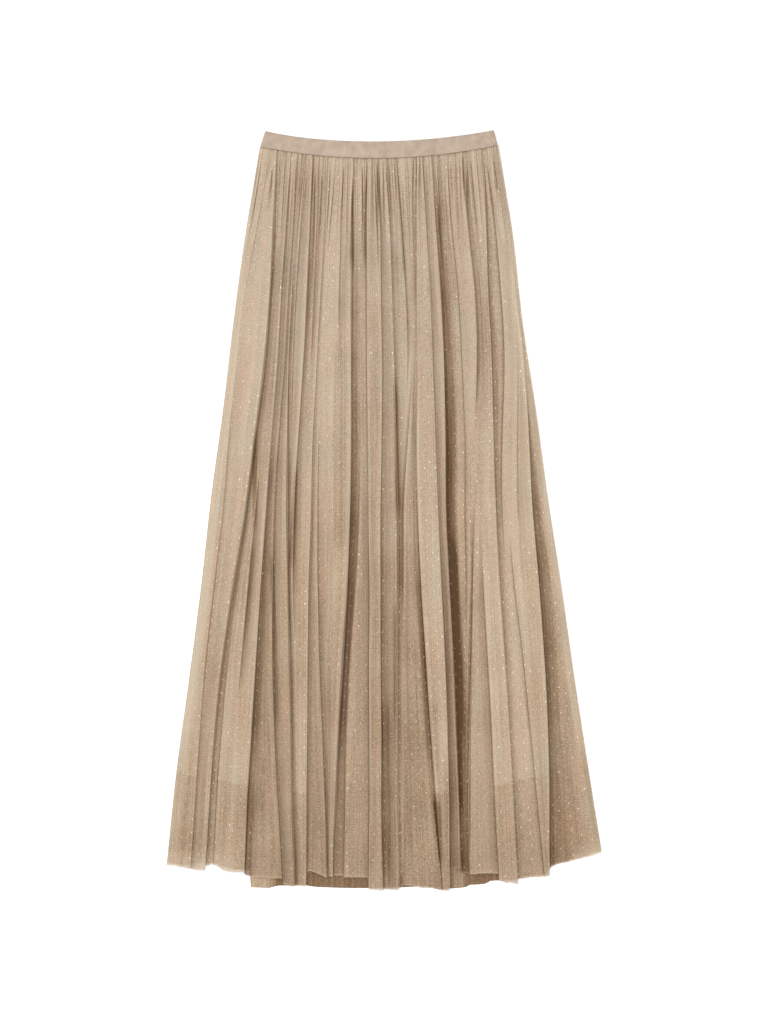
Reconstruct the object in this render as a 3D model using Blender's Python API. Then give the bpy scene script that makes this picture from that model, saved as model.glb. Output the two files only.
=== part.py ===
"""Tulle maxi skirt laid flat with its front up.

Metres, +Z up, waist towards +Y, underside on z = 0. The skirt is a tube of gathered
tulle over a shorter, narrower lining tube, both sewn to a plain waistband. Every piece
is a closed wall swept from the flat outline, the hem curve and the table of folds.
"""
from collections import namedtuple

import bpy
import numpy as np

MM = 0.001

# The flat skirt was read off in drawing units, x to the right and y down the skirt.
UNIT = 1.385 * MM
CENTRE_X = 384.25
CENTRE_Y = 510.34

# Walls and the gaps between pieces
TULLE_WALL = 1.2 * MM
LINING_WALL = 1.0 * MM
BAND_BACK_WALL = 2.4 * MM
BAND_FRONT_WALL = 2.7 * MM
GAP = 0.3 * MM
BACK_RELIEF = 0.6 * MM

# Waistband edges as shallow arcs: middle, height at the middle, rise at one half width
BAND_TOP = (372.0, 141.0, 10.5)
BAND_BOTTOM = (375.0, 158.0, 12.0)
HALF_WAIST = 118.0
BAND_LEFT = (265.3, 260.0)
BAND_RIGHT = (494.0, 498.0)

# Hem arc: lowest reading, bow and tilt over one half hem
HEM_LOW = 889.0
HEM_BOW = 29.5
HEM_TILT = 6.5
HALF_HEM = 217.5

# Outer edges of the laid-out skirt at nine even steps from waist to hem
LEFT_EDGE = (258.5, 245.0, 233.0, 222.5, 210.5, 200.5, 188.5, 176.0, 166.5)
RIGHT_EDGE = (498.5, 513.0, 523.0, 536.5, 548.5, 562.0, 574.5, 588.0, 602.0)

# Lining: the share of the skirt's length it takes up, and how much narrower it is
LINING_SHARE = 0.87
LINING_INSET = 17.0 * MM
LINING_TOP_INSET = 3.0 * MM

# Rolled outer edge, where the front turns under to the back
ROLL_HEIGHT = 3.0 * MM
ROLL_WIDTH = 9.0 * MM
ROLL_FADE = 26.0 * MM

# Share of the length over which a fold starts or fades, and where short gathers end
FADE = 0.15
GATHER_END = 0.20
GATHER_DEPTH = 5.0 * MM
MIN_PITCH = 1.6

# One row for each fold, from the left side to the right. The first five columns are
# where the fold's edge runs, in drawing units. start and end are shares of the length.
# depth, lip and valley are millimetres; a lip below zero faces left. before and after
# tell how many millimetres shorter than the hem arc the cloth ends at the fold's sides.
Fold = namedtuple("Fold", "waist quarter half lower hem start end depth lip valley before after")
FOLDS = (
    Fold(270.0, 240.5, 223.0, 203.0, 190.0, 0.00, 1.00, 6, 1.5, 3, 3, 3),
    Fold(277.5, 267.0, 244.5, 220.5, 204.0, 0.00, 1.00, 12, 2.5, 6, 5, 12),
    Fold(281.8, 270.0, 248.0, 224.5, 213.0, 0.68, 1.00, 5, -1.5, 3, 15, 15),
    Fold(285.7, 273.0, 254.5, 241.0, 228.0, 0.44, 0.86, 10, 2.0, 5, 10, 10),
    Fold(290.0, 279.5, 266.5, 255.0, 243.5, 0.00, 1.00, 13, 2.5, 7, 13, -8),
    Fold(296.5, 286.5, 273.5, 273.2, 282.0, 0.00, 1.00, 9, 2.0, 4, 11, 1),
    Fold(300.5, 289.0, 287.3, 290.5, 294.0, 0.15, 1.00, 13, 2.5, 5, 1, 1),
    Fold(304.5, 294.0, 290.0, 293.5, 297.0, 0.00, 0.40, 8, 1.5, 4, 2, 2),
    Fold(311.5, 305.0, 293.5, 296.0, 300.0, 0.00, 0.64, 13, 2.0, 6, 2, 2),
    Fold(320.0, 311.7, 305.0, 302.0, 303.0, 0.00, 0.30, 7, 1.0, 3, 2, 2),
    Fold(329.0, 317.5, 310.5, 307.0, 306.5, 0.00, 1.00, 8, 1.5, 3, 2, 23),
    Fold(336.0, 323.0, 316.8, 321.0, 327.5, 0.38, 1.00, 9, 2.0, 4, 16, 17),
    Fold(342.0, 338.5, 334.0, 330.0, 329.3, 0.00, 0.27, 5, 1.0, 3, 17, 17),
    Fold(352.5, 351.0, 349.3, 339.5, 331.0, 0.00, 1.00, 15, 3.0, 9, 17, 18),
    Fold(358.0, 357.5, 358.8, 347.8, 344.0, 0.45, 1.00, 10, -2.5, 4, 18, 17),
    Fold(366.7, 366.7, 369.0, 369.7, 369.0, 0.00, 1.00, 8, -1.5, 3, 16, 0),
    Fold(377.5, 381.7, 380.3, 382.3, 386.0, 0.00, 1.00, 10, 2.0, 5, -1, -1),
    Fold(386.5, 392.8, 397.5, 397.0, 399.5, 0.00, 1.00, 13, 2.5, 6, -1, 0),
    Fold(396.5, 407.7, 399.8, 399.5, 402.5, 0.00, 0.28, 9, 1.5, 4, 1, 2),
    Fold(405.5, 413.0, 402.2, 402.5, 406.0, 0.32, 0.60, 10, -2.0, 4, 3, 3),
    Fold(416.8, 416.5, 418.8, 428.0, 443.5, 0.00, 1.00, 13, -2.5, 6, -8, -8),
    Fold(422.8, 432.0, 438.7, 447.0, 451.0, 0.00, 1.00, 9, 1.5, 3, -9, -9),
    Fold(431.0, 444.8, 448.3, 458.0, 462.0, 0.00, 1.00, 16, 3.0, 11, -8, 12),
    Fold(446.5, 460.3, 465.5, 465.5, 464.0, 0.00, 0.62, 6, 1.0, 3, 12, 12),
    Fold(461.3, 476.5, 470.5, 468.5, 465.5, 0.00, 0.36, 9, 1.5, 6, 12, 12),
    Fold(466.0, 481.0, 475.0, 471.0, 467.5, 0.50, 1.00, 12, -2.5, 4, 12, 11),
    Fold(471.5, 485.0, 481.5, 489.8, 500.0, 0.55, 1.00, 9, -2.0, 4, -3, -6),
    Fold(481.5, 490.0, 495.7, 507.0, 518.5, 0.00, 1.00, 14, 2.5, 9, -13, -8),
    Fold(487.5, 503.5, 502.5, 513.5, 524.0, 0.05, 0.52, 8, -2.0, 4, -9, -9),
    Fold(490.5, 508.0, 508.5, 526.5, 545.0, 0.55, 1.00, 8, -1.5, 4, -12, -12),
    Fold(493.0, 516.3, 517.8, 533.0, 547.5, 0.20, 0.56, 4, 1.0, 3, -12, -12),
    Fold(495.3, 520.5, 531.3, 545.0, 550.0, 0.20, 1.00, 14, 3.0, 10, -12, 0),
)
# Short gathers under the waistband between the folds above
SHORT_GATHERS = (263.0, 324.5, 347.5, 372.0, 391.5, 411.0, 438.5, 453.8, 476.5)

# Hem of the back panel: reading across, and millimetres shorter than the hem arc
BackHem = namedtuple("BackHem", "across short")
BACK_HEM = (
    BackHem(166.0, 3.0),
    BackHem(190.0, 14.0),
    BackHem(215.0, 20.0),
    BackHem(243.0, 19.0),
    BackHem(252.0, 1.0),
    BackHem(368.0, 0.5),
    BackHem(440.0, 1.0),
    BackHem(480.0, 4.0),
    BackHem(602.0, 2.0),
)
BACK_PLEATS = 13

# Rows down the panels, as shares of the skirt's length
LINING_ROWS = (0.0, 0.02, 0.06, 0.13, 0.22, 0.33, 0.45, 0.57, 0.69, 0.80, LINING_SHARE)
FRONT_ROWS = LINING_ROWS[:-1] + (0.885, 0.92, 1.0)
# A ridge stands no higher than this share of its width
STEEPEST = 0.85
# Growth of the folds' depth from the waist down
GROWTH_AT = (0.0, 0.05, 0.2, 0.5, 1.0)
GROWTH = (0.40, 0.66, 0.82, 1.0, 1.05)


def ease(t):
    """Smooth step from 0 to 1 as t goes from 0 to 1."""
    t = np.clip(t, 0.0, 1.0)
    return t * t * (3.0 - 2.0 * t)


def across(reading):
    """Drawing units across to metres from the middle line."""
    return (np.asarray(reading, dtype=float) - CENTRE_X) * UNIT


def along(reading):
    """Drawing units down the skirt to metres towards the waist."""
    return (CENTRE_Y - np.asarray(reading, dtype=float)) * UNIT


def through(values, share):
    """Smooth curve through evenly spaced values, with the slope of their neighbours."""
    values = np.asarray(values, dtype=float)
    place = np.clip(share, 0.0, 1.0) * (len(values) - 1)
    cell = np.minimum(place.astype(int), len(values) - 2)
    t = place - cell
    slopes = np.gradient(values)
    first, last = values[cell], values[cell + 1]
    out, into = slopes[cell], slopes[cell + 1]
    return (first * (1 + 2 * t) * (1 - t) ** 2 + out * t * (1 - t) ** 2
            + last * t * t * (3 - 2 * t) + into * t * t * (t - 1))


def arc_reading(x, arc):
    """Reading down the skirt of a shallow arc at the reading x across."""
    middle, low, rise = arc
    return low - rise * ((x - middle) / HALF_WAIST) ** 2


def hem_reading(x):
    """Reading of the hem arc at the reading x across."""
    q = (x - CENTRE_X) / HALF_HEM
    return HEM_LOW - HEM_BOW * q * q - HEM_TILT * q


def all_folds():
    """The folds of the table with the short gathers set in between them.

    A short gather keeps its place between its two neighbours all the way down.
    """
    rows = list(FOLDS)
    for waist in SHORT_GATHERS:
        right = next(i for i, row in enumerate(rows) if row.waist > waist)
        ahead = rows[right]
        if right == 0:
            behind = ahead._replace(waist=LEFT_EDGE[0], quarter=LEFT_EDGE[2], half=LEFT_EDGE[4],
                                    lower=LEFT_EDGE[6], hem=LEFT_EDGE[8])
        else:
            behind = rows[right - 1]
        part = (waist - behind.waist) / (ahead.waist - behind.waist)
        places = [behind[k] + part * (ahead[k] - behind[k]) for k in range(5)]
        hem = behind.after + part * (ahead.before - behind.after)
        rows.insert(right, Fold(*places, 2.0, 3.0, 0, 1.0, 3, hem, hem))
    return rows


def fold_state(rows, share):
    """Edge place, strength, height, lip and valley of every fold at each share of the length."""
    lines = np.array([through(row[:5], share) for row in rows])
    step = np.arange(len(rows))[:, None] * MIN_PITCH
    lines = np.maximum.accumulate(lines - step, axis=0) + step
    right = through(RIGHT_EDGE, share)
    limit = right - 3.0 - (len(rows) - 1 - np.arange(len(rows)))[:, None] * MIN_PITCH
    lines = across(np.minimum(lines, limit))
    start = np.array([row.start for row in rows])[:, None]
    end = np.array([row.end for row in rows])[:, None]
    own = np.where(start <= 0.0, 1.0, ease((share - start) / FADE + 0.5))
    own = own * np.where(end >= 1.0, 1.0, ease((end - share) / FADE + 0.5))
    short = ease((GATHER_END - share) / GATHER_END * 1.4)
    depth = np.array([row.depth for row in rows])[:, None] * MM
    grown = np.interp(share, GROWTH_AT, GROWTH)
    height = np.maximum(own * depth, short * GATHER_DEPTH) * grown
    strength = np.maximum(own, short)
    lip = np.array([row.lip for row in rows])[:, None] * MM * strength * grown
    valley = np.array([row.valley for row in rows])[:, None] * MM * strength
    return lines, strength, height, lip, valley


def reaches(lines, strength, valley, lip, left, right):
    """How far each ridge reaches back from its edge: to the next fold that still stands."""
    count = len(lines)
    reach = np.zeros_like(lines)
    back = lines[0] - left
    for i in range(count):
        if i:
            gap = lines[i] - lines[i - 1]
            back = gap - strength[i - 1] * np.minimum(valley[i - 1], 0.35 * gap) + (
                1 - strength[i - 1]) * back
        reach[i] = back
    ahead = right - lines[-1]
    for i in reversed(range(count)):
        if i < count - 1:
            gap = lines[i + 1] - lines[i]
            ahead = gap - strength[i + 1] * np.minimum(valley[i + 1], 0.35 * gap) + (
                1 - strength[i + 1]) * ahead
        reach[i] = np.where(lip[i] < 0, ahead, reach[i])
    return reach


def front_net(rows, share):
    """Control net of the front panel: five columns for each fold, and the two side edges.

    Each ridge swells from the valley behind it, stands at its edge with a small lip and
    drops to the valley in front. Where ridges meet, the higher one shows.
    """
    share = np.asarray(share, dtype=float)
    left = across(through(LEFT_EDGE, share))
    right = across(through(RIGHT_EDGE, share))
    lines, strength, height, lip, valley = fold_state(rows, share)
    reach = reaches(lines, strength, valley, lip, left, right)
    height = np.minimum(height, STEEPEST * reach)
    count = len(rows)
    gaps = np.diff(np.vstack([left[None], lines, right[None]]), axis=0)
    columns = [left, left + 0.35 * np.minimum(gaps[0], 8 * MM)]
    owner = [-1, -1]
    shift = [0 * left, 0 * left]
    for i in range(count):
        before, after = gaps[i], gaps[i + 1]
        room = np.minimum(0.22 * np.minimum(before, after), 0.25 * height[i])
        tip = np.clip(lip[i], -room, room)
        forward = np.where(tip > 0, tip, 0.0)
        backward = np.where(tip < 0, tip, 0.0)
        columns += [lines[i] - 0.50 * before, lines[i] - np.minimum(3.4 * MM, 0.28 * before),
                    lines[i] - np.minimum(0.6 * MM, 0.08 * before),
                    lines[i] + np.minimum(0.6 * MM, 0.08 * after),
                    lines[i] + np.minimum(np.maximum(valley[i], 2.4 * MM), 0.30 * after)]
        shift += [0 * tip, 0.35 * forward, forward - 0.25 * backward,
                  backward - 0.25 * forward, 0.35 * backward]
        owner += [i, i, i, i, i]
    last = lines[-1]
    for part in (0.40, 0.62, 0.85, 1.0):
        columns.append(last + part * (right - last))
        shift.append(0 * left)
        owner.append(-1)
    x = np.array(columns)
    relief = np.zeros_like(x)
    for i in range(count):
        behind = np.where(lip[i] < 0, x - lines[i], lines[i] - x)
        t = behind / reach[i]
        wave = np.where((t >= 0) & (t <= 1), 1 - np.abs(t) ** 1.8, 0.0)
        relief = np.maximum(relief, wave * height[i])
    edge = np.minimum(x - left, right - x)
    roll = ROLL_HEIGHT * np.interp(share, GROWTH_AT, GROWTH) * ease(edge / ROLL_WIDTH)
    relief = np.maximum(relief, roll * ease((ROLL_FADE - edge) / ROLL_FADE * 1.5))
    relief = relief * ease(edge / ROLL_WIDTH + 0.15)
    relief[0] = 0.0
    relief[-1] = 0.0
    short = hem_short(rows, x, lines)
    return x, np.array(shift), relief, short, edge


def hem_short(rows, x, lines):
    """Millimetres by which each column ends short of the hem arc, level on either side of
    a step half way between two folds."""
    count = len(rows)
    short = np.zeros_like(x)
    before = np.array([row.before for row in rows], dtype=float)
    after = np.array([row.after for row in rows], dtype=float)
    for j in range(x.shape[1]):
        cell = np.searchsorted(lines[:, j], x[:, j])
        low = np.clip(cell - 1, 0, count - 1)
        high = np.clip(cell, 0, count - 1)
        span = np.maximum(lines[high, j] - lines[low, j], 1e-6)
        part = ease(((x[:, j] - lines[low, j]) / span - 0.35) / 0.3)
        start = np.where(cell == 0, 0.0, after[low])
        stop = np.where(cell == count, 0.0, before[high])
        inner = start + (stop - start) * part
        edge_left = ease((x[:, j] - x[0, j]) / np.maximum(lines[0, j] - x[0, j], 1e-6))
        edge_right = 1 - ease((x[:, j] - lines[-1, j]) / np.maximum(x[-1, j] - lines[-1, j], 1e-6))
        inner = np.where(cell == 0, before[0] * edge_left, inner)
        inner = np.where(cell == count, after[-1] * edge_right, inner)
        short[:, j] = inner
    return short * MM


def lining_inset(share):
    """How far the lining's sides lie inside the tulle's."""
    return LINING_TOP_INSET + (LINING_INSET - LINING_TOP_INSET) * ease(share / 0.12)


def layer_height(edge, share):
    """Height of the layer under the front panel: on the lining where there is lining,
    and down on the back panel outside it and below its hem."""
    under = TULLE_WALL + GAP
    stack = 2 * (LINING_WALL + GAP)
    lift = BACK_RELIEF * ease(share / 0.15)
    inside = ease((edge - lining_inset(share)) / (6 * MM) + 1.6)
    above = 1 - ease((share - LINING_SHARE - 0.012) / 0.03)
    return under + lift + stack * inside * above


def spline(points, samples):
    """Uniform cubic B-spline down axis 0, with samples to each span and both ends met."""
    first = 2 * points[:1] - points[1:2]
    last = 2 * points[-1:] - points[-2:-1]
    padded = np.concatenate([first, points, last])
    spans = len(points) - 1
    t = (np.arange(samples) / samples)[None, :, None, None]
    weights = ((1 - t) ** 3 / 6, (3 * t ** 3 - 6 * t ** 2 + 4) / 6,
               (-3 * t ** 3 + 3 * t ** 2 + 3 * t + 1) / 6, t ** 3 / 6)
    body = sum(w * padded[k:k + spans, None] for k, w in enumerate(weights))
    body = body.reshape(spans * samples, *points.shape[1:])
    end = (padded[-3] + 4 * padded[-2] + padded[-1]) / 6
    return np.concatenate([body, end[None]])


def front_surface(share, samples):
    """Upper face of the front panel as a grid of points, columns first."""
    rows = all_folds()
    share = np.asarray(share, dtype=float)
    x, shift, relief, short, edge = front_net(rows, share)
    reading = x / UNIT + CENTRE_X
    top = along(arc_reading(reading, BAND_BOTTOM)) - GAP
    hem = along(hem_reading(reading)) + short * ease((share - 0.82) / 0.18)
    y = top + share * (hem - top)
    z = layer_height(edge, share) + TULLE_WALL + relief
    return spline(np.stack([x + shift, y, z], axis=2), samples)


def normals(grid):
    """Unit normals of a grid of points, upwards."""
    a = np.gradient(grid, axis=0)
    b = np.gradient(grid, axis=1)
    n = np.cross(b, a)
    n = n / np.linalg.norm(n, axis=2, keepdims=True)
    n[1:-1] = n[:-2] + 2 * n[1:-1] + n[2:]
    n[:, 1:-1] = n[:, :-2] + 2 * n[:, 1:-1] + n[:, 2:]
    return n / np.linalg.norm(n, axis=2, keepdims=True)


def untangle(upper, lower):
    """Draws the lower face together where it would turn back on itself in a tight bend."""
    lower = lower.copy()
    ahead = np.diff(upper, axis=0)[..., ::2]
    for _ in range(4):
        under = np.diff(lower, axis=0)[..., ::2]
        turned = np.sum(ahead * under, axis=2) < 0.12 * np.sum(ahead * ahead, axis=2)
        tight = np.zeros(lower.shape[:2], dtype=bool)
        tight[:-1] |= turned
        tight[1:] |= turned
        even = lower.copy()
        even[1:-1] = (lower[:-2] + lower[1:-1] + lower[2:]) / 3
        lower = np.where(tight[..., None], even, lower)
    return lower


def wall(upper, lower):
    """Points and faces of the closed wall between two grids of the same shape."""
    columns, rows = upper.shape[:2]
    points = np.concatenate([upper.reshape(-1, 3), lower.reshape(-1, 3)])
    index = np.arange(columns * rows).reshape(columns, rows)
    a, b = index[:-1, :-1].ravel(), index[1:, :-1].ravel()
    c, d = index[1:, 1:].ravel(), index[:-1, 1:].ravel()
    half = columns * rows
    top = np.stack([a, d, c, b], axis=1)
    bottom = np.stack([a, b, c, d], axis=1) + half
    loop = np.concatenate([index[:, 0], index[-1, 1:], index[-2::-1, -1], index[0, -2:0:-1]])
    nxt = np.roll(loop, -1)
    rim = np.stack([loop, nxt, nxt + half, loop + half], axis=1)
    return points, np.concatenate([top, bottom, rim])


def add_piece(name, upper, lower, material):
    """One closed solid between its upper and its lower grid."""
    points, faces = wall(upper, lower)
    mesh = bpy.data.meshes.new(name)
    mesh.from_pydata(points.tolist(), [], faces.tolist())
    mesh.validate()
    mesh.update()
    piece = bpy.data.objects.new(name, mesh)
    bpy.context.scene.collection.objects.link(piece)
    mesh.materials.append(material)
    return piece


def fabric(name, colour, roughness, sheen):
    """Principled fabric of one plain colour."""
    material = bpy.data.materials.new(name)
    material.use_nodes = True
    shader = material.node_tree.nodes["Principled BSDF"]
    shader.inputs["Base Color"].default_value = (*colour, 1.0)
    shader.inputs["Roughness"].default_value = roughness
    shader.inputs["Sheen Weight"].default_value = sheen
    return material


def panel(columns, share, left, right, top, hem):
    """Flat grid between two sides, a top line and a hem line, all given as readings."""
    part = np.linspace(0.0, 1.0, columns)[:, None]
    share = np.asarray(share, dtype=float)[None, :]
    x = left(share) + part * (right(share) - left(share))
    reading = x / UNIT + CENTRE_X
    upper, lower = top(reading), hem(reading)
    y = upper + share * (lower - upper)
    return x, y, part + 0 * share, share + 0 * part


def flat_solid(name, x, y, low, high, material):
    """Slab of cloth over a flat grid with its own underside and upper face."""
    return add_piece(name, np.stack([x, y, high], axis=2), np.stack([x, y, low], axis=2), material)


def build_front(material):
    """Gathered front panel."""
    upper = front_surface(FRONT_ROWS, 1)
    lower = untangle(upper, upper - TULLE_WALL * normals(upper))
    lower[..., 2] = np.maximum(lower[..., 2], TULLE_WALL + GAP)
    return add_piece("tulle_front", upper, lower, material)


def build_back(material):
    """Back panel, flat underneath, its pleats a low relief on top."""
    def hem(x):
        across_at = [row.across for row in BACK_HEM]
        short = np.interp(x, across_at, [row.short for row in BACK_HEM])
        return along(hem_reading(x)) + short * MM

    def top(x):
        return along(arc_reading(x, BAND_BOTTOM)) - GAP

    x, y, part, share = panel(
        4 * BACK_PLEATS + 1, np.linspace(0, 1, 8), lambda s: across(through(LEFT_EDGE, s)),
        lambda s: across(through(RIGHT_EDGE, s)), top, hem)
    wave = 0.5 - 0.5 * np.cos(2 * np.pi * BACK_PLEATS * part)
    inside = ease(np.minimum(part, 1 - part) / 0.08)
    high = TULLE_WALL + BACK_RELIEF * wave * inside * ease(share / 0.15)
    return flat_solid("tulle_back", x, y, 0 * x, high, material)


def build_lining(name, layer, material):
    """Plain lining panel, shorter and narrower than the tulle."""
    def top(x):
        return along(arc_reading(x, BAND_BOTTOM)) - GAP

    x, y, _, share = panel(
        17, LINING_ROWS, lambda s: across(through(LEFT_EDGE, s)) + lining_inset(s),
        lambda s: across(through(RIGHT_EDGE, s)) - lining_inset(s), top,
        lambda x: along(hem_reading(x)))
    low = TULLE_WALL + GAP + BACK_RELIEF * ease(share / 0.15) + layer * (LINING_WALL + GAP)
    return flat_solid(name, x, y, low, low + LINING_WALL, material)


def build_band(name, low, thickness, material):
    """Half of the waistband: a plain bowed strip, a touch thinner at its four edges."""
    columns, steps = 29, np.linspace(0.0, 1.0, 6)[None, :]
    part = np.linspace(0.0, 1.0, columns)[:, None]
    left = BAND_LEFT[0] + steps * (BAND_LEFT[1] - BAND_LEFT[0])
    right = BAND_RIGHT[0] + steps * (BAND_RIGHT[1] - BAND_RIGHT[0])
    reading = left + part * (right - left)
    top, bottom = arc_reading(reading, BAND_TOP), arc_reading(reading, BAND_BOTTOM)
    x, y = across(reading), along(top + steps * (bottom - top))
    rim = np.minimum(np.minimum(part, 1 - part) * 60, np.minimum(steps, 1 - steps) * 8)
    soft = 0.5 * MM * (1 - ease(rim))
    return flat_solid(name, x, y, low + 0 * x, low + thickness - soft, material)


def main():
    """Clear the scene and build the six pieces."""
    for old in list(bpy.data.objects):
        bpy.data.objects.remove(old, do_unlink=True)
    tulle = fabric("tulle", (0.48, 0.35, 0.25), 0.75, 0.3)
    lining = fabric("lining_satin", (0.40, 0.29, 0.20), 0.45, 0.1)
    band = fabric("waistband_satin", (0.55, 0.43, 0.34), 0.5, 0.1)
    build_back(tulle)
    build_lining("lining_back", 0, lining)
    build_lining("lining_front", 1, lining)
    build_front(tulle)
    build_band("waistband_back", 0.0, BAND_BACK_WALL, band)
    build_band("waistband_front", BAND_BACK_WALL + GAP, BAND_FRONT_WALL, band)


main()
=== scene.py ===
"""Tulle maxi skirt laid flat with its front up: the looks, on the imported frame.

Metres, +Z up, waist towards +Y. Every piece is a grid of points worked out from the flat
outline, the hem and the table of folds, with the cloth's own width and length as its UV.
"""
import math
from collections import namedtuple

import bpy
import numpy as np
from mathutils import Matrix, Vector


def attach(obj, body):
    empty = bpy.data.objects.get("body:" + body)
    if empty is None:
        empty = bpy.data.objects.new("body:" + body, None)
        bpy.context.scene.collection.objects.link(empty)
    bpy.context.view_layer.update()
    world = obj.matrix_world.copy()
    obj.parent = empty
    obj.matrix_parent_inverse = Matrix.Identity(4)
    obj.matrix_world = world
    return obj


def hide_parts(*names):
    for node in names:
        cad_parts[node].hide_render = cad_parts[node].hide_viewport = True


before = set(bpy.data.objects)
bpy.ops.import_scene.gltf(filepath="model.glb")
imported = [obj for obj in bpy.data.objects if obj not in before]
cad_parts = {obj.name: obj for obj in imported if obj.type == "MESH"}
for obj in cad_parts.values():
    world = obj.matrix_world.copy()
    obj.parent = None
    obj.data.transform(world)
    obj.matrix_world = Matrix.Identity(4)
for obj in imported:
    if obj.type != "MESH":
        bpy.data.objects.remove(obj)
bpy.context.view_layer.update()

MM = 0.001

# The flat skirt was read off in drawing units, x to the right and y down the skirt.
UNIT = 1.385 * MM
CENTRE_X = 384.25
CENTRE_Y = 510.34

# Walls, the gaps between pieces, and the room left over the back panel's pleats
TULLE_WALL = 1.2 * MM
LINING_WALL = 1.0 * MM
BAND_BACK_WALL = 2.4 * MM
BAND_FRONT_WALL = 2.7 * MM
GAP = 0.3 * MM
BACK_RELIEF = 0.6 * MM

# Waistband edges as shallow arcs: middle, reading there and rise at one half width, then how
# much more the top edge rises at its left end and over what span, and the two ends at the
# top and bottom edge
BAND_TOP = (372.0, 141.0, 10.5)
BAND_BOTTOM = (375.0, 158.0, 12.0)
HALF_WAIST = 118.0
BAND_END_RISE = 1.8
BAND_END_SPAN = 106.5
BAND_LEFT = (265.3, 260.0)
BAND_RIGHT = (494.0, 498.0)
BAND_HEIGHT = 23.5 * MM
BAND_LENGTH = 320 * MM
# Slanted dent near the band's right end: where, how wide and how deep
DENT_AT = (484.0, 137.0)
DENT_WIDTH = 1.6 * MM
DENT_DEPTH = 0.35 * MM

# Hem arc: lowest reading, bow and tilt over one half hem
HEM_LOW = 889.0
HEM_BOW = 29.5
HEM_TILT = 6.5
HALF_HEM = 217.5

# Outer edges of the laid-out skirt at nine even steps from waist to hem
LEFT_EDGE = (259.8, 245.0, 233.0, 222.5, 210.5, 200.5, 188.5, 176.0, 166.5)
RIGHT_EDGE = (498.5, 513.0, 523.0, 536.5, 548.5, 562.0, 574.5, 588.0, 602.0)

# Lining: the share of the skirt's length it takes up, how sharply its hem shows through the
# net, where its faces lie in its wall, and how much narrower it is
LINING_SHARE = 0.87
LINING_STEP = 0.003
LINING_FACES = (0.8, 0.3)
LINING_INSET = 17.0 * MM
LINING_TOP_INSET = 3.0 * MM

# Rolled outer edge, where the front turns under to the back
ROLL_HEIGHT = 3.0 * MM
ROLL_WIDTH = 9.0 * MM
ROLL_FADE = 26.0 * MM

# Share of the length over which a fold starts or fades, and where short gathers end and how
# deep they are
FADE = 0.15
GATHER_END = 0.20
GATHER_DEPTH = 5.0 * MM
# Least distance in drawing units between two folds, and from the last one to the right edge
MIN_PITCH = 1.6
EDGE_ROOM = 3.0

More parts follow.
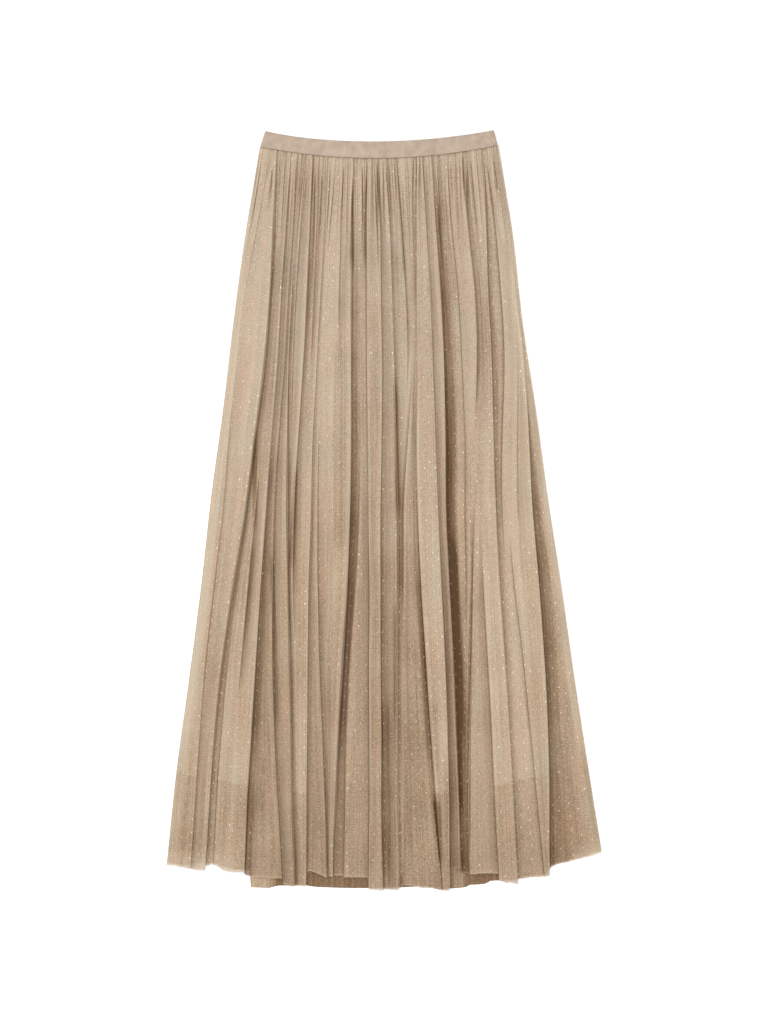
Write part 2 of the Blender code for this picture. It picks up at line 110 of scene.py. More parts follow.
# One row for each fold, from the left side to the right. The first five columns are
# where the fold's edge runs, in drawing units. start and end are shares of the length.
# depth, lip and valley are millimetres; a lip below zero faces left. before and after
# tell how many millimetres shorter than the hem arc the cloth ends at the fold's sides,
# and net and low_net how thick the net lies in the panel up to the fold, above and below
# half way: 1 thin, 2 plain, 3 doubled, 4 and more doubled twice. Past a fold that has
# faded out its own panel's count goes on.
Fold = namedtuple("Fold", "waist quarter half lower hem start end depth lip valley "
                          "before after net low_net")
FOLDS = tuple(Fold(*row) for row in (
    (270, 240.5, 223, 203, 190, 0, 1, 6, 1.5, 3, 3, 3, 1, 1),
    (277.5, 267, 244.5, 218, 204, 0, 1, 12, 2.5, 6, 5, 12, 1, 2),
    (281.8, 270, 248, 224.5, 213, 0.68, 1, 5, -1.5, 3, 15, 15, 4, 2),
    (285.7, 273, 254.5, 238.5, 226.5, 0.44, 0.76, 9, 2, 5, 10, 10, 2, 1),
    (290, 279.5, 265.5, 252.8, 243.5, 0, 1, 13, 2.5, 11, 13, 7, 2, 1.5),
    (296.5, 286.5, 273.5, 273.2, 282, 0, 1, 9, 2, 4, 10, 1, 2, 3.6),
    (300.5, 289, 287.3, 290.5, 294, 0.15, 1, 13, 2.5, 5, 1, 1, 2, 3),
    (304.5, 294, 290, 293.5, 297, 0, 0.40, 8, 1.5, 4, 2, 2, 3, 0.8),
    (311.5, 305, 293.5, 296, 300, 0, 0.64, 13, 2, 6, 2, 2, 2, 0.8),
    (320, 311.7, 305, 302, 303, 0, 0.30, 7, 1, 3, 2, 2, 3, 1),
    (329, 317.5, 310.5, 307, 306.5, 0, 1, 8, 1.5, 3, 2, 23, 2, 2),
    (336, 323, 316.8, 321, 327.5, 0.38, 1, 9, 2, 4, 16, 17, 1, 3),
    (342, 338.5, 334, 330, 329.3, 0, 0.27, 5, 1, 3, 17, 17, 1, 2),
    (352.5, 351, 349.3, 339.5, 331, 0, 1, 14.6, 3, 10, 17, 18, 2, 2),
    (358, 357.5, 358.8, 347.8, 344, 0.45, 1, 10, -2.5, 4, 18, 17, 3, 3),
    (366.7, 366.7, 369, 369.7, 369, 0, 1, 8, -1.5, 3, 16, 0, 3, 3.2),
    (377.5, 381.7, 380.3, 380.5, 382, 0, 1, 10, 2, 9, -1, -1, 2, 2.7),
    (386.5, 392.8, 397.5, 397, 399.5, 0, 1, 13, 2.5, 6, -1, 0, 2.8, 3),
    (396.5, 407.7, 399.8, 399.5, 402.5, 0, 0.28, 9, 1.5, 4, 1, 2, 2, 3.4),
    (405.5, 413, 402.2, 402.5, 406, 0.32, 0.60, 10, -2, 4, 3, 3, 2, 3.4),
    (416.8, 416.5, 418.8, 429, 443.5, 0, 1, 13, -2.5, 6, -8, -8, 2, 3.8),
    (422.8, 432, 438.7, 446.5, 450, 0, 1, 9, 1.5, 3, -9, 20, 1.7, 1),
    (431, 442.5, 446.3, 455, 461.5, 0, 1, 16, 3, 12, 22, 14, 2, 5.2),
    (446.5, 460.3, 465.5, 465.5, 464, 0, 0.62, 6, 1, 3, 12, 12, 4, 4),
    (461.3, 476.5, 470.5, 468.5, 465.5, 0, 0.36, 9, 1.5, 6, 12, 12, 2, 2),
    (466, 481, 475, 471, 467.5, 0.50, 1, 12, -2.5, 4, 12, 11, 4, 2),
    (471.5, 485, 481.5, 489.8, 499, 0.55, 1, 9, -2, 4, 5, -6, 2, 2),
    (481.5, 490, 495.7, 507, 517.5, 0, 1, 11.5, 2.5, 8, -13, -8, 1, 0.2),
    (487.5, 503.5, 502.5, 513.5, 524, 0.05, 0.52, 8, -2, 4, -9, -9, 3, 0.2),
    (490.5, 508, 508.5, 526.5, 545, 0.55, 1, 8, -1.5, 4, -12, -12, 1, 0.4),
    (493, 516.3, 517.8, 533, 547.5, 0.20, 0.56, 4, 1, 3, -12, -12, 1, 1),
    (495.3, 520.5, 531.3, 545, 550, 0.20, 1, 14, 3, 14, -12, 0, 1, 1),
))
# The same for the last panel, past the last fold
LAST_NET = (2, 3)
# Short gathers under the waistband between the folds above
SHORT_GATHERS = (263.0, 324.5, 347.5, 372.0, 391.5, 411.0, 438.5, 453.8, 476.5)

# Hem of the back panel: reading across, and millimetres shorter than the hem arc
BackHem = namedtuple("BackHem", "across short")
BACK_HEM = tuple(BackHem(*row) for row in (
    (166, 3),
    (186, 6),
    (198, 13.5),
    (213, 16.5),
    (232, 13),
    (244, 14.5),
    (249.5, 13),
    (250.5, -8.5),
    (268, -6.8),
    (279, -1.5),
    (305, 2),
    (315, 0.5),
    (368, 0.5),
    (425, 0),
    (437, -6),
    (461, -8),
    (466, -7.5),
    (470, -5.5),
    (485, -7),
    (492, -3.5),
    (501, -6),
    (517, -9.5),
    (524, -6.5),
    (546, -10),
    (551, 1.5),
    (602, 2),
))

# Painted shadows that a valley throws over its own length only, and below zero the paler runs,
# painted highlights. Each has its height at both ends, its left and right side there, and the
# tone it takes away.
Stroke = namedtuple("Stroke", "top left right bottom low_left low_right tone")
PAINTED_STROKES = tuple(Stroke(*row) for row in (
    (178, 351.5, 352.7, 277, 349, 354, 0.52),
    (165, 365.6, 366.8, 277, 363, 367, 0.36),
    (166, 395.6, 397, 290, 404, 407.3, 0.38),
    (190, 436, 439.5, 330, 443, 448, 0.15),
    (215, 272.5, 276, 300, 269.5, 273, 0.15),
    (275, 280.5, 286, 480, 269, 274.5, -0.22),
    (285, 412.5, 417, 590, 416, 420.5, -0.20),
    (365, 392.5, 397, 525, 395.5, 401, 0.35),
    (420, 252.5, 257, 545, 252.5, 257.5, 0.35),
    (530, 252.5, 257.5, 655, 242, 246, 0.32),
    (545, 270, 273.5, 735, 275, 280.5, 0.32),
    (455, 295, 298.5, 580, 287.5, 295, 0.38),
    (600, 417.5, 423, 770, 426, 434, 0.12),
    (690, 381, 389, 890, 381.5, 392, 0.22),
    (690, 295.5, 305.5, 875, 297, 303.5, -0.12),
    (580, 396.5, 403, 890, 398, 404, -0.26),
    (535, 448, 457.5, 825, 460.8, 463.4, 0.34),
    (787, 431.5, 440, 875, 440.3, 443.3, 0.60),
    (330, 334, 349, 565, 333, 348, 0.20),
    (163, 379, 397, 260, 384, 404, -0.10),
    (330, 480, 495, 540, 482, 497, -0.08),
    (600, 296, 308, 730, 296, 306, 0.09),
    (590, 330, 342, 740, 326, 336, 0.08),
    (590, 428, 447, 740, 432, 447, 0.09),
    (330, 405, 417.5, 560, 404, 418, -0.12),
    (300, 369, 379.5, 560, 371, 379.5, 0.11),
    (590, 393.5, 397.5, 735, 393, 396.5, 0.25),
    (690, 427, 437, 790, 433, 440, 0.17),
    (740, 443, 448, 880, 443.5, 447.5, 0.16),
    (540, 372, 397, 770, 372, 397, 0.11),
    (725, 549, 566, 880, 549.5, 572, 0.15),
    (850, 160, 230, 880, 160, 230, -0.20),
    (842, 592, 606, 884, 545, 606, -0.18),
))
# A stroke swells and dies away over this share of its length, at most so many units
STROKE_END = 0.25
LONGEST_END = 30.0

# A ridge stands no higher than this share of its width, and the soft net has settled to
# this share of the fold's full depth
STEEPEST = 0.85
SETTLED = 0.85
# A valley takes up at most this share of the gap between two folds, and how blunt the
# ridge behind it is
VALLEY_SHARE = 0.35
RIDGE_POWER = 1.8
# Columns of the control net beside a fold's edge: how far off they stand, and at most at
# what share of the gap to the next fold
BEHIND = (3.4 * MM, 0.28)
AT_EDGE = (0.6 * MM, 0.08)
IN_FRONT = (2.4 * MM, 0.30)
# Columns past the last fold, as shares of the way to the right edge
LAST_COLUMNS = (0.40, 0.62, 0.85, 1.0)
# Where the hem steps between two folds and how wide the step is, as shares of the gap, and
# the share of the length from which the cloth bends to its own hem line
STEP_START = 0.46
STEP_WIDTH = 0.12
HEM_BEND = 0.82
# Growth of the folds' depth from the waist down
GROWTH_AT = (0.0, 0.05, 0.2, 0.5, 1.0)
GROWTH = (0.40, 0.66, 0.82, 1.0, 1.05)

# Samples to one span of the control net, and rows from waist to hem
FRONT_SAMPLES = 5
FRONT_ROWS = 88
# Fine unevenness of the cloth: pitch across, length along and height
RIPPLES = ((3.2 * MM, 260 * MM, 0.16 * MM), (7.5 * MM, 330 * MM, 0.45 * MM),
           (17.0 * MM, 420 * MM, 0.8 * MM))
# Puckers that the seam gathers in, just below the band
PUCKER_PITCH = 4.0 * MM
PUCKER_HEIGHT = 1.5 * MM
PUCKER_FADE = 80 * MM
# Painted shadow beside a fold: the height that throws all of it, the thin line at the fold's edge,
# the wider pool over its valley with the share of it that is gone at the hem, and the painted
# highlight on the crest behind the edge
SHADOW_HEIGHT = 16 * MM
LINE_WIDTH = 1.1 * MM
LINE_PAINTED_SHADOW = 0.43
POOL_CORE = 0.55
POOL_EDGE = 0.9
POOL_PAINTED_SHADOW = 0.70
POOL_POWER = 5
POOL_FADE = 0.65
CREST_WIDTH = 5.0 * MM
CREST_PAINTED_HIGHLIGHT = 0.10
# Tone lost where the net lies one step thicker, and what it loses down to the hem
LAYER_TONE = 0.11
HEM_TONE = 0.12
# Painted shade in the thin creases down the skirt, painted shadow lines between the gathers
# that the seam pulls in, painted highlights on their sides, and painted light on the net just
# under the band
CREASE_PITCH = 7.0 * MM
CREASE_LENGTH = 190 * MM
CREASE_FADE = 130 * MM
CREASE_PAINTED_SHADE = 0.12
CREASE_PAINTED_SHADE_SEAM = 0.30
GATHER_PITCH = 4.2 * MM
GATHER_PAINTED_HIGHLIGHT = 0.38
SEAM_PAINTED_LIGHT = 0.16
# How far the folds stray to the side, the thin painted shadow line where the net meets the
# band with its width, and how far the painted light on the net reaches below it
STRAY = 0.9 * MM
SEAM_PAINTED_SHADOW = 0.50
SEAM_LINE = 1.6 * MM
SEAM_GLOW = 22 * MM
# Share of the length where the net's cut edge begins, and how much paler it is
CUT_EDGE = 0.9965
CUT_LIGHT = 0.22
# Fraying of the cut edge: how far, its pitch, and where along the length it starts
FRAY = 0.45 * MM
FRAY_PITCH = 1.1 * MM
FRAY_START = 0.985
# Streaks where the net lies thicker or thinner: pitch, length and weight
STREAKS = ((2.4 * MM, 220 * MM, 0.09), (6.0 * MM, 300 * MM, 0.10), (22.0 * MM, 350 * MM, 0.12))
# Glitter dots: columns apart, dots apart in a column, half width and half length
DOT_COLUMNS = 7.0 * MM
DOT_ROWS = 18.0 * MM
DOT_WIDE = 0.56 * MM
DOT_LONG = 1.25 * MM
DOT_SIDES = 6
# Tone gained by the lone net at the sides and lost past the lining's hem, and the back
# panel's tone, painted darker in the shade of the front, with the painted shade that darkens it
# there and at its hem
STRIP_TONE = 0.34
PAST_TONE = 0.14
BACK_SHADED_TONE = 0.85
BACK_PAINTED_SHADE = 0.12
BACK_HEM_PAINTED_SHADE = 0.38
# Where the front's hem leaves the back panel's unshaded: start, end, how softly it ends, and
# how much of the shade is gone
Lone = namedtuple("Lone", "start end soft share")
LONE_BACK = (Lone(249, 266, 16, 1.0), Lone(451, 463, 3, 0.5))
# Where the underside rests and how far its pressed pleats stand off the table
REST_HEIGHT = 0.35 * MM
PRESSED = 0.09

# Seeds of the random draws
RIPPLE_SEED = 11
PUCKER_SEED = 31
FRAY_SEED = 41
LINING_SEED = 51
STRAY_SEED = 61
PUFF_SEED = 61
CREASE_SEED = 71
GATHER_SEED = 75
STREAK_SEED = 81
DOT_SEED = 7

# Drawn mesh and grain of the net, then pitch and length of its streaks and its drift in hue
MESH = (3.0 * MM, 2.8 * MM)
GRAIN = 2.0 * MM
YARN_STREAK = (2.6 * MM, 140 * MM)
HUE_DRIFT = (13 * MM, 90 * MM)
# Colours of the net from its deepest painted shadow up, through its plain colour low and high on
# the skirt, to the pale of its painted highlights and lone edges, and the two hues that it
# drifts between
NET_PAINTED_SHADOW = "#4D3317"
NET_BROWN = "#836950"
NET_LOW = "#AE967D"
NET_HIGH = "#B09B86"
NET_PALE = "#C6B29B"
NET_ROSE = "#FDF9F8"
NET_OLIVE = "#F4FDFF"
# Band, lining and glitter foil: dark and light, and the foil in painted deep shade
BAND_COLOURS = ("#887662", "#BBA794")
LINING_COLOURS = ("#B79F87", "#C6AE97")
FOIL_COLOURS = ("#AE987F", "#E9DCC5")
FOIL_PAINTED_SHADE = "#7A6248"

# Camera and lights
PICTURE_WIDTH = 768
PICTURE_HEIGHT = 1024
CAMERA_HEIGHT = 3.2
LOOK_LEVEL = 8 * MM
Lamp = namedtuple("Lamp", "name place size power")
LAMPS = (Lamp("key", (-1.7, 1.1, 2.6), 1.6, 38), Lamp("fill", (0.5, -0.5, 3.6), 3.4, 102))
ROOM_LIGHT = 0.62
HALF_FLOOR = 6.0


def ease(t):
    """Smooth step from 0 to 1 as t goes from 0 to 1."""
    t = np.clip(t, 0.0, 1.0)
    return t * t * (3.0 - 2.0 * t)


def across(reading):
    """Drawing units across to metres from the middle line."""
    return (np.asarray(reading, dtype=float) - CENTRE_X) * UNIT


def along(reading):
    """Drawing units down the skirt to metres towards the waist."""
    return (CENTRE_Y - np.asarray(reading, dtype=float)) * UNIT


def through(values, share):
    """Smooth curve through evenly spaced values, with the slope of their neighbours."""
    values = np.asarray(values, dtype=float)
    place = np.clip(share, 0.0, 1.0) * (len(values) - 1)
    cell = np.minimum(place.astype(int), len(values) - 2)
    t = place - cell
    slopes = np.gradient(values)
    first, last = values[cell], values[cell + 1]
    out, into = slopes[cell], slopes[cell + 1]
    return (first * (1 + 2 * t) * (1 - t) ** 2 + out * t * (1 - t) ** 2
            + last * t * t * (3 - 2 * t) + into * t * t * (t - 1))


def arc_reading(x, arc):
    """Reading down the skirt of a shallow arc at the reading x across."""
    middle, low, rise = arc
    return low - rise * ((x - middle) / HALF_WAIST) ** 2


def reading_of(x):
    """Metres from the middle line to the drawing's units across."""
    return x / UNIT + CENTRE_X


def side_edges(share):
    """Left and right edge of the laid-out skirt at each share of the length."""
    return across(through(LEFT_EDGE, share)), across(through(RIGHT_EDGE, share))


def hem_reading(x):
    """Reading of the hem arc at the reading x across."""
    q = (x - CENTRE_X) / HALF_HEM
    return HEM_LOW - HEM_BOW * q * q - HEM_TILT * q


def place_down(x, share, short=0.0):
    """Place along the skirt, in even shares from the band's lower edge to the hem arc, or to
    a hem that is shorter than the arc by a length of its own."""
    reading = reading_of(x)
    top = along(arc_reading(reading, BAND_BOTTOM)) - GAP
    return top + share * (along(hem_reading(reading)) + short - top)


def all_folds():
    """The folds of the table with the short gathers set in between them.

    A short gather keeps its place between its two neighbours all the way down. Its start
    lies past the hem, so that nothing but the gather itself shows.
    """
    rows = list(FOLDS)
    for waist in SHORT_GATHERS:
        right = next(i for i, row in enumerate(rows) if row.waist > waist)
        ahead = rows[right]
        if right == 0:
            behind = ahead._replace(waist=LEFT_EDGE[0], quarter=LEFT_EDGE[2], half=LEFT_EDGE[4],
                                    lower=LEFT_EDGE[6], hem=LEFT_EDGE[8])
        else:
            behind = rows[right - 1]
        part = (waist - behind.waist) / (ahead.waist - behind.waist)
        places = [behind[k] + part * (ahead[k] - behind[k]) for k in range(5)]
        hem = behind.after + part * (ahead.before - behind.after)
        rows.insert(right, Fold(*places, 2.0, 3.0, 0, 1.0, 3, hem, hem, ahead.net + 0.3,
                                ahead.low_net))
    return rows


def fold_state(rows, share):
    """Edge place, strength, height, lip and valley of every fold at each share of the length."""
    lines = np.array([through(row[:5], share) for row in rows])
    step = np.arange(len(rows))[:, None] * MIN_PITCH
    lines = np.maximum.accumulate(lines - step, axis=0) + step
    right = through(RIGHT_EDGE, share)
    limit = right - EDGE_ROOM - (len(rows) - 1 - np.arange(len(rows)))[:, None] * MIN_PITCH
    lines = across(np.minimum(lines, limit))
    start, end, depth, lip, valley = np.array([row[5:10] for row in rows], float).T[..., None]
    own = np.where(start <= 0.0, 1.0, ease((share - start) / FADE + 0.5))
    own = own * np.where(end >= 1.0, 1.0, ease((end - share) / FADE + 0.5))
    short = ease((GATHER_END - share) / GATHER_END * 1.4)
    grown = np.interp(share, GROWTH_AT, GROWTH)
    height = np.maximum(own * (depth * MM), short * GATHER_DEPTH) * grown
    strength = np.maximum(own, short)
    return lines, strength, height, lip * MM * strength * grown, valley * MM * strength


def room_behind(lines, strength, valley, room):
    """Room between each fold's edge and the one before that still stands, less its valley."""
    rooms = [room]
    for gap, stands, width in zip(np.diff(lines, axis=0), strength, valley):
        room = gap - stands * np.minimum(width, VALLEY_SHARE * gap) + (1 - stands) * room
        rooms.append(room)
    return np.array(rooms)


def reaches(lines, strength, valley, lip, left, right):
    """How far each ridge reaches back from its edge, to the right where its lip faces left."""
    back = room_behind(lines, strength, valley, lines[0] - left)
    ahead = room_behind(-lines[::-1], strength[::-1], valley[::-1], right - lines[-1])[::-1]
    return np.where(lip < 0, ahead, back)


def front_net(rows, share):
    """Control net of the front panel: five columns for each fold, and the two side edges.

    Each ridge swells from the valley behind it, stands at its edge with a small lip and
    drops to the valley in front. Where ridges meet, the higher one shows.
    """
    share = np.asarray(share, dtype=float)
    left, right = side_edges(share)
    lines, strength, height, lip, valley = fold_state(rows, share)
    reach = reaches(lines, strength, valley, lip, left, right)
    height = np.minimum(SETTLED * height, STEEPEST * reach)
    count = len(rows)
    gaps = np.diff(np.vstack([left[None], lines, right[None]]), axis=0)
    columns = [left, left + 0.35 * np.minimum(gaps[0], 8 * MM)]
    shift = [0 * left, 0 * left]
    for i in range(count):
        before, after = gaps[i], gaps[i + 1]
        room = np.minimum(0.22 * np.minimum(before, after), 0.25 * height[i])
        tip = np.clip(lip[i], -room, room)
        forward = np.where(tip > 0, tip, 0.0)
        backward = np.where(tip < 0, tip, 0.0)
        columns += [lines[i] - 0.50 * before,
                    lines[i] - np.minimum(BEHIND[0], BEHIND[1] * before),
                    lines[i] - np.minimum(AT_EDGE[0], AT_EDGE[1] * before),
                    lines[i] + np.minimum(AT_EDGE[0], AT_EDGE[1] * after),
                    lines[i] + np.minimum(np.maximum(valley[i], IN_FRONT[0]),
                                          IN_FRONT[1] * after)]
        shift += [0 * tip, 0.35 * forward, forward - 0.25 * backward,
                  backward - 0.25 * forward, 0.35 * backward]
    last = lines[-1]
    for part in LAST_COLUMNS:
        columns.append(last + part * (right - last))
        shift.append(0 * left)
    x = np.array(columns)
    relief = np.zeros_like(x)
    for i in range(count):
        behind = np.where(lip[i] < 0, x - lines[i], lines[i] - x)
        t = behind / reach[i]
        wave = np.where((t >= 0) & (t <= 1), 1 - np.abs(t) ** RIDGE_POWER, 0.0)
        relief = np.maximum(relief, wave * height[i])
    edge = np.minimum(x - left, right - x)
    roll = ROLL_HEIGHT * np.interp(share, GROWTH_AT, GROWTH) * ease(edge / ROLL_WIDTH)
    relief = np.maximum(relief, roll * ease((ROLL_FADE - edge) / ROLL_FADE * 1.5))
    relief = relief * ease(edge / ROLL_WIDTH + 0.15)
    relief[0] = 0.0
    relief[-1] = 0.0
    short = hem_short(rows, x, lines)
    return x, np.array(shift), relief, short, edge


def hem_short(rows, x, lines):
    """Millimetres by which each column ends short of the hem arc, level on either side of
    a step half way between two folds."""
    count = len(rows)
    short = np.zeros_like(x)
    before, after = np.array([row[10:12] for row in rows], float).T
    for j in range(x.shape[1]):
        cell = np.searchsorted(lines[:, j], x[:, j])
        low = np.clip(cell - 1, 0, count - 1)
        high = np.clip(cell, 0, count - 1)
        span = np.maximum(lines[high, j] - lines[low, j], 1e-6)
        part = ease(((x[:, j] - lines[low, j]) / span - STEP_START) / STEP_WIDTH)
        start = np.where(cell == 0, 0.0, after[low])
        stop = np.where(cell == count, 0.0, before[high])
        inner = start + (stop - start) * part
        edge_left = ease((x[:, j] - x[0, j]) / np.maximum(lines[0, j] - x[0, j], 1e-6))
        edge_right = 1 - ease((x[:, j] - lines[-1, j]) / np.maximum(x[-1, j] - lines[-1, j], 1e-6))
        inner = np.where(cell == 0, before[0] * edge_left, inner)
        inner = np.where(cell == count, after[-1] * edge_right, inner)
        short[:, j] = inner
    return short * MM


def lining_inset(share):
    """How far the lining's sides lie inside the tulle's."""
    return LINING_TOP_INSET + (LINING_INSET - LINING_TOP_INSET) * ease(share / 0.12)


def layer_lift(share):
    """Room left over the back panel's pleats."""
    return BACK_RELIEF * ease(share / 0.15)


def layer_height(edge, share):
    """Height of the layer under the front panel: on the lining where there is lining,
    and down on the back panel outside it and below its hem."""
    under = TULLE_WALL + GAP
    stack = 2 * (LINING_WALL + GAP)
    inside = ease((edge - lining_inset(share)) / (6 * MM) + 1.6)
    above = 1 - ease((share - LINING_SHARE - 0.012) / 0.03)
    return under + layer_lift(share) + stack * inside * above


def spline(points, samples):
    """Uniform cubic B-spline down axis 0, with samples to each span and both ends met."""
    first = 2 * points[:1] - points[1:2]
    last = 2 * points[-1:] - points[-2:-1]
    padded = np.concatenate([first, points, last])
    spans = len(points) - 1
    t = (np.arange(samples) / samples)[None, :, None, None]
    weights = ((1 - t) ** 3 / 6, (3 * t ** 3 - 6 * t ** 2 + 4) / 6,
               (-3 * t ** 3 + 3 * t ** 2 + 3 * t + 1) / 6, t ** 3 / 6)
    body = sum(w * padded[k:k + spans, None] for k, w in enumerate(weights))
    body = body.reshape(spans * samples, *points.shape[1:])
    end = (padded[-3] + 4 * padded[-2] + padded[-1]) / 6
    return np.concatenate([body, end[None]])


def fold_tone(rows, share, x):
    """Tone of the net at each point, 1 where it lies plain: a thin painted shadow line at each
    fold's edge and a painted shadow pool over its valley, both stronger under the high folds, a
    painted highlight on the crest, a step down where the net lies thicker, and a slow fall
    towards the hem."""
    lines, strength, height, lip, valley = fold_state(rows, share)
    shadow = np.zeros_like(x)
    crest = np.zeros_like(x)
    nets = np.array([row[-2:] for row in rows] + [LAST_NET], dtype=float)
    nets = nets[:, :1] + (nets[:, 1:] - nets[:, :1]) * ease((share - 0.3) / 0.4)
    open_part = ease(share / 0.1) * (1 - POOL_FADE * ease((share - 0.74) / 0.12))
    layers = nets[0] + 0 * x
    for i in range(len(rows)):
        side = np.where(lip[i] < 0, -1.0, 1.0)
        away = (x - lines[i] - 0.5 * lip[i]) * side
        deep = np.clip(height[i] / SHADOW_HEIGHT, 0, 1)
        # Painted shadow: a thin line at the fold's edge and a pool over its valley; painted
        # highlight on the crest behind the edge
        line = LINE_PAINTED_SHADOW * np.exp(-np.maximum(away, 0) / LINE_WIDTH) * (0.3 + 0.7 * deep)
        far = (away / (valley[i] + 1e-6) - POOL_CORE) / POOL_EDGE
        pool = POOL_PAINTED_SHADOW * (1 - ease(far)) * deep ** POOL_POWER * open_part
        cast = np.where(away > -0.25 * MM, line * strength[i] + pool, 0.0)
        shadow = np.maximum(shadow, cast)
        crest = np.maximum(crest, np.where(away <= 0, np.exp(away / CREST_WIDTH), 0.0) * deep)
        beyond = np.where(x > lines[i] + 0.5 * lip[i], strength[i], 0.0)
        layers = layers + beyond * (nets[i + 1] - layers)
    layers = 2 + (layers - 2) * (0.35 + 0.65 * ease(share / 0.16))
    past = ease((share - LINING_SHARE) / LINING_STEP) * np.clip(2 - layers, 0, 1.6)
    return (1 - shadow + CREST_PAINTED_HIGHLIGHT * crest - LAYER_TONE * (layers - 2)
            - HEM_TONE * ease((share - 0.3) / 0.55) - PAST_TONE * past)


def front_surface(share, samples):
    """Upper face of the front panel as a grid of points, columns first, and the tone of
    the net at each point."""
    rows = all_folds()
    share = np.asarray(share, dtype=float)
    x, shift, relief, short, edge = front_net(rows, share)
    y = place_down(x, share, short * ease((share - HEM_BEND) / (1 - HEM_BEND)))
    z = layer_height(edge, share) + TULLE_WALL + relief
    net = spline(np.stack([x + shift, y, z, relief], axis=2), samples)
    return net[..., :3], fold_tone(rows, share, net[..., 0])


def between(values, i, j, s, t):
    """Values of a grid at places that lie s and t of a step past the points i, j."""
    return ((values[i, j] * (1 - s) + values[i + 1, j] * s) * (1 - t)
            + (values[i, j + 1] * (1 - s) + values[i + 1, j + 1] * s) * t)


def value_noise(u, v, pitch_u, pitch_v, seed):
    """Smooth noise from -1 to 1: seeded values on a grid of the two pitches, eased between
    the four nearest ones."""
    a, b = u / pitch_u, v / pitch_v
    a, b = a - a.min(), b - b.min()
    values = np.random.default_rng(seed).uniform(-1, 1, (int(a.max()) + 2, int(b.max()) + 2))
    i, j = a.astype(int), b.astype(int)
    return between(values, i, j, ease(a - i), ease(b - j))


def cloth_places(grid):
    """Width and length along the cloth itself for every point: arc length across a row two
    thirds down, and straight length down the column."""
    row = grid.shape[1] * 2 // 3
    steps = np.linalg.norm(np.diff(grid[:, row], axis=0), axis=1)
    wide = np.concatenate([[0.0], np.cumsum(steps)])
    down = np.linalg.norm(np.diff(grid, axis=1), axis=2)
    long = np.concatenate([np.zeros((len(grid), 1)), np.cumsum(down, axis=1)], axis=1)
    return np.broadcast_to(wide[:, None], grid.shape[:2]), long


def cloth_uv(grid):
    """UV of every point: its place on the cloth in metres."""
    return np.stack(cloth_places(grid), axis=2).reshape(-1, 2)


def unit(vectors):
    """Vectors scaled to a length of 1."""
    return vectors / np.maximum(np.linalg.norm(vectors, axis=-1, keepdims=True), 1e-12)


def quads(columns, rows, start=0, flip=False):
    """Faces of a grid whose points are numbered column by column."""
    index = np.arange(columns * rows).reshape(columns, rows) + start
    faces = np.stack([index[:-1, :-1].ravel(), index[:-1, 1:].ravel(),
                      index[1:, 1:].ravel(), index[1:, :-1].ravel()], axis=1)
    return faces[:, ::-1] if flip else faces


def placed(name, data):
    """Object made of its data and linked to the scene."""
    made = bpy.data.objects.new(name, data)
    bpy.context.scene.collection.objects.link(made)
    return made


def add_mesh(name, points, faces, material, uv=None, shade=None):
    """Mesh object from whole arrays, smooth, with the cloth's UV and a shade for each point."""
    mesh = bpy.data.meshes.new(name)
    mesh.vertices.add(len(points))
    mesh.vertices.foreach_set("co", points.astype(np.float32).ravel())
    count, sides = faces.shape
    mesh.loops.add(count * sides)
    mesh.polygons.add(count)
    mesh.loops.foreach_set("vertex_index", faces.astype(np.int32).ravel())
    mesh.polygons.foreach_set("loop_start", np.arange(count, dtype=np.int32) * sides)
    mesh.update(calc_edges=True)
    mesh.polygons.foreach_set("use_smooth", np.ones(count, dtype=bool))
    if uv is not None:
        layer = mesh.uv_layers.new(name="cloth")
        layer.data.foreach_set("uv", uv[faces.ravel()].astype(np.float32).ravel())
    if shade is not None:
        layer = mesh.attributes.new("shade", "FLOAT", "POINT")
        layer.data.foreach_set("value", shade.astype(np.float32).ravel())
    mesh.materials.append(material)
    mesh.validate()
    return placed(name, mesh)


def sheet_piece(name, grid, material, shade, face_down=False):
    """One open sheet of cloth from a grid of points."""
    return add_mesh(name, grid.reshape(-1, 3), quads(*grid.shape[:2], flip=face_down),
                    material, cloth_uv(grid), shade.ravel())


def closed_piece(name, upper, lower, material):
    """Closed wall between an upper and a lower grid of the same shape."""
    columns, rows = upper.shape[:2]
    half = columns * rows
    index = np.arange(half).reshape(columns, rows)
    loop = np.concatenate([index[:, 0], index[-1, 1:], index[-2::-1, -1], index[0, -2:0:-1]])
    nxt = np.roll(loop, -1)
    rim = np.stack([loop, nxt, nxt + half, loop + half], axis=1)
    faces = np.concatenate([quads(columns, rows), quads(columns, rows, half, True), rim])
    points = np.concatenate([upper.reshape(-1, 3), lower.reshape(-1, 3)])
    uv = cloth_uv(upper)
    return add_mesh(name, points, faces, material, np.concatenate([uv, uv]), np.ones(2 * half))


def uneven(wide, long):
    """Lift of each point from the fine ripples down the cloth and the seam's puckers."""
    lift = sum(height * value_noise(wide, long, across_pitch, along_pitch, RIPPLE_SEED + k)
               for k, (across_pitch, along_pitch, height) in enumerate(RIPPLES))
    lift = lift * ease(long / (30 * MM) + 0.15)
    pucker = value_noise(wide, long, PUCKER_PITCH, 70 * MM, PUCKER_SEED)
    return lift + PUCKER_HEIGHT * pucker * np.exp(-long / PUCKER_FADE)


